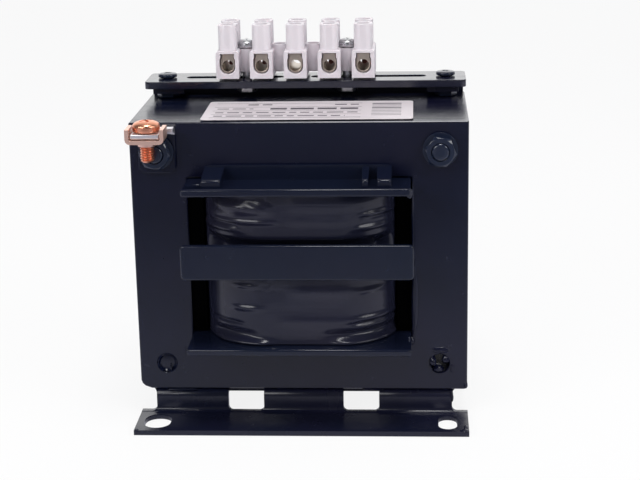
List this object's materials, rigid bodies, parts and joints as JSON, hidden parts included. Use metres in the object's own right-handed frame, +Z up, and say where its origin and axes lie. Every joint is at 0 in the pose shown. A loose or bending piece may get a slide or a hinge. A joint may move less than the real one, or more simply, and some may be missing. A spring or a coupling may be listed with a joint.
{
  "type": "mains transformer",
  "caption": "Open frame mains transformer: lacquered EI core on a folded base with slotted feet, two-chamber coil, terminal block on a top strip and an earth terminal.",
  "frame": {"origin": "under the middle of the core, on the plane that the feet stand on", "axes": "+Z up from the feet to the terminal block; +X along the core's front from left to right; +Y from the front, which has the earth terminal, to the back, where the carrier bracket hangs"},
  "size_m": [0.0964, 0.0754, 0.1113],
  "materials": {
    "core": "gloss",
    "sheet": "gloss",
    "former": "gloss",
    "tape": "gloss",
    "winding": "satin",
    "block": "satin",
    "clamp": "satin",
    "zinc": "satin",
    "fastener": "gloss",
    "copper": "polished",
    "lead": "matte",
    "label": "matte"
  },
  "bodies": {
    "root": {"base_bracket": "sheet", "block_nut_left": "zinc", "block_nut_right": "zinc", "block_screw_left": "zinc", "block_screw_right": "zinc", "carrier_bracket": "sheet", "carrier_nut_left": "fastener", "carrier_nut_right": "fastener", "carrier_screw_left": "fastener", "carrier_screw_right": "fastener", "carrier_strip": "sheet", "clamp_screw_front_1": "zinc", "clamp_screw_front_2": "zinc", "clamp_screw_front_3": "zinc", "clamp_screw_front_4": "zinc", "clamp_screw_front_5": "zinc", "clamp_screw_rear_1": "zinc", "clamp_screw_rear_2": "zinc", "clamp_screw_rear_3": "zinc", "clamp_screw_rear_4": "zinc", "clamp_screw_rear_5": "zinc", "coil_former": "former", "core_bolt_left": "fastener", "core_bolt_right": "fastener", "core_e_laminations": "core", "core_i_laminations": "core", "core_nut_left": "fastener", "core_nut_right": "fastener", "earth_bracket": "sheet", "earth_clamp": "copper", "earth_screw": "copper", "front_washer_left": "fastener", "front_washer_right": "fastener", "lead_primary_end": "lead", "lead_primary_start": "lead", "lead_secondary_end": "lead", "lead_secondary_start": "lead", "primary_winding": "winding", "primary_wrap": "tape", "rating_label": "label", "rear_washer_left": "fastener", "rear_washer_right": "fastener", "secondary_winding": "winding", "secondary_wrap": "tape", "terminal_block": "block", "terminal_clamp_1": "clamp", "terminal_clamp_2": "clamp", "terminal_clamp_3": "clamp", "terminal_clamp_4": "clamp", "terminal_clamp_5": "clamp"}
  },
  "joints": []
}
